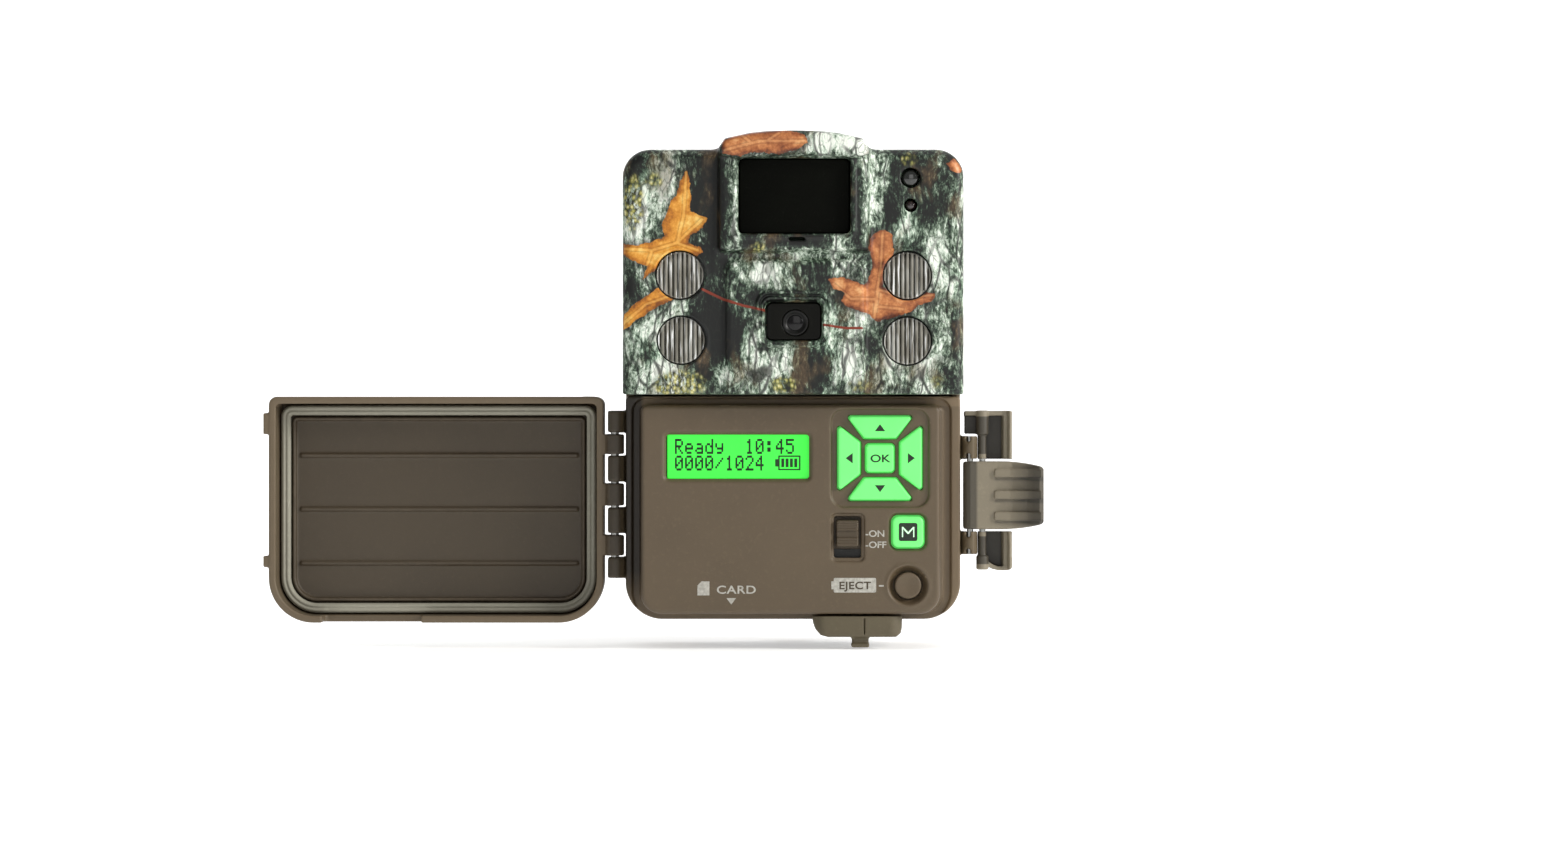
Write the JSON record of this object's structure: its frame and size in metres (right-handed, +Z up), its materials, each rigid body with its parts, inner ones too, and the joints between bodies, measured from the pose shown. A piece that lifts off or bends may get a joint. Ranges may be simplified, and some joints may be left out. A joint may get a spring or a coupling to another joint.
{
  "type": "trail camera",
  "caption": "Box-shaped trail camera with camouflaged front, hinged lower door opened on a keypad and display, side draw latch, battery tray and tree bracket.",
  "frame": {"origin": "centre of the tree bracket's flat back face", "axes": "+Z up, +Y from the lens towards the tree, +X to the right as seen from the front"},
  "size_m": [0.1912, 0.0635, 0.125],
  "materials": {
    "brown_plastic": "fine satin texture",
    "dark_brown_plastic": "satin",
    "camouflage": "printed bark and leaf film, satin",
    "brass": "turned",
    "steel": "bright",
    "black_window": "smoked, smooth",
    "lens_black": "satin",
    "clear_ribbed": "clear, ribbed",
    "circuit_board": "solder mask",
    "red_diffuser": "tinted",
    "display_green": "lit from behind",
    "key_green": "translucent, lit from behind",
    "cell_wrap": "printed foil",
    "card_black": "satin",
    "seal_rubber": "matte"
  },
  "bodies": {
    "camera": {"rear_housing": "brown_plastic", "tripod_insert": "brass", "mount_bracket": "dark_brown_plastic", "bracket_screw_1": "steel", "bracket_screw_2": "steel", "bracket_screw_3": "steel", "bracket_screw_4": "steel", "front_housing": "camouflage", "pir_window": "black_window", "pir_sensor": "steel", "microphone": "steel", "lens_window": "black_window", "lens_barrel": "lens_black", "lens_holder": "lens_black", "ir_window_upper_left": "clear_ribbed", "ir_window_lower_left": "clear_ribbed", "ir_window_upper_right": "clear_ribbed", "ir_window_lower_right": "clear_ribbed", "led_board_left": "circuit_board", "led_board_right": "circuit_board", "light_sensor_window": "lens_black", "indicator_led": "red_diffuser", "main_board": "circuit_board", "control_panel": "brown_plastic", "lcd_window": "display_green", "lcd_module": "lens_black", "ui_board": "circuit_board", "power_switch_body": "steel", "eject_spring": "steel", "card_socket": "steel", "dc_jack": "lens_black", "hinge_pin": "steel", "lever_pin": "steel"},
    "door": {"door": "brown_plastic", "door_gasket": "seal_rubber"},
    "latch_lever": {"latch_lever": "brown_plastic"},
    "latch_hooks": {"latch_hook_upper": "brown_plastic", "latch_hook_lower": "brown_plastic", "link_pin": "steel"},
    "power_switch_knob": {"power_switch_knob": "dark_brown_plastic"},
    "key_up": {"key_up": "key_green"},
    "key_down": {"key_down": "key_green"},
    "key_left": {"key_left": "key_green"},
    "key_right": {"key_right": "key_green"},
    "key_ok": {"key_ok": "key_green"},
    "key_menu": {"key_menu": "key_green"},
    "eject_button": {"eject_button": "brown_plastic"},
    "tray_catch": {"tray_catch": "lens_black"},
    "battery_tray": {"battery_tray": "lens_black", "battery_cell_1": "cell_wrap", "battery_cell_2": "cell_wrap", "battery_cell_3": "cell_wrap", "battery_cell_4": "cell_wrap", "battery_cell_5": "cell_wrap", "battery_cell_6": "cell_wrap", "battery_contacts_lower": "steel", "battery_contacts_upper": "steel"},
    "memory_card": {"memory_card": "card_black"},
    "port_cover": {"port_cover": "seal_rubber"}
  },
  "joints": [
    {"name": "door_hinge", "type": "hinge", "parent": "camera", "child": "door", "pos_m": [-0.0435, -0.046, -0.0265], "axis": [0, 0, 1], "range_deg": [0, 180]},
    {"name": "latch_lever_hinge", "type": "hinge", "parent": "camera", "child": "latch_lever", "pos_m": [0.0433, -0.0452, -0.0267], "axis": [0, 0, 1], "range_deg": [0, 90]},
    {"name": "latch_hooks_hinge", "type": "hinge", "parent": "latch_lever", "child": "latch_hooks", "pos_m": [0.0463, -0.0452, -0.0267], "axis": [0, 0, 1], "range_deg": [-180, 0]},
    {"name": "power_switch_slide", "type": "slide", "parent": "camera", "child": "power_switch_knob", "axis": [0, 0, -1], "range_m": [0, 0.0022]},
    {"name": "key_up_press", "type": "slide", "parent": "camera", "child": "key_up", "axis": [0, 1, 0], "range_m": [0, 0.0006], "stiffness_N_per_m": 800},
    {"name": "key_down_press", "type": "slide", "parent": "camera", "child": "key_down", "axis": [0, 1, 0], "range_m": [0, 0.0006], "stiffness_N_per_m": 800},
    {"name": "key_left_press", "type": "slide", "parent": "camera", "child": "key_left", "axis": [0, 1, 0], "range_m": [0, 0.0006], "stiffness_N_per_m": 800},
    {"name": "key_right_press", "type": "slide", "parent": "camera", "child": "key_right", "axis": [0, 1, 0], "range_m": [0, 0.0006], "stiffness_N_per_m": 800},
    {"name": "key_ok_press", "type": "slide", "parent": "camera", "child": "key_ok", "axis": [0, 1, 0], "range_m": [0, 0.0006], "stiffness_N_per_m": 800},
    {"name": "key_menu_press", "type": "slide", "parent": "camera", "child": "key_menu", "axis": [0, 1, 0], "range_m": [0, 0.0006], "stiffness_N_per_m": 800},
    {"name": "eject_button_press", "type": "slide", "parent": "camera", "child": "eject_button", "axis": [0, 1, 0], "range_m": [0, 0.0015], "stiffness_N_per_m": 600, "deforming": ["eject_spring"]},
    {"name": "tray_catch_slide", "type": "slide", "parent": "camera", "child": "tray_catch", "axis": [1, 0, 0], "range_m": [0, 0.0015]},
    {"name": "battery_tray_slide", "type": "slide", "parent": "camera", "child": "battery_tray", "axis": [0, 0, -1], "range_m": [0, 0.055]},
    {"name": "memory_card_slide", "type": "slide", "parent": "camera", "child": "memory_card", "axis": [0, 0, 1], "range_m": [-0.034, 0]},
    {"name": "port_cover_hinge", "type": "hinge", "parent": "camera", "child": "port_cover", "pos_m": [0.0157, -0.0442, -0.0579], "axis": [-1, 0, 0], "range_deg": [-85, 0]}
  ],
  "couplings": [
    {"joint": "latch_hooks_hinge", "follows": "latch_lever_hinge", "ratio": -2},
    {"joint": "tray_catch_slide", "follows": "eject_button_press", "ratio": 1}
  ]
}
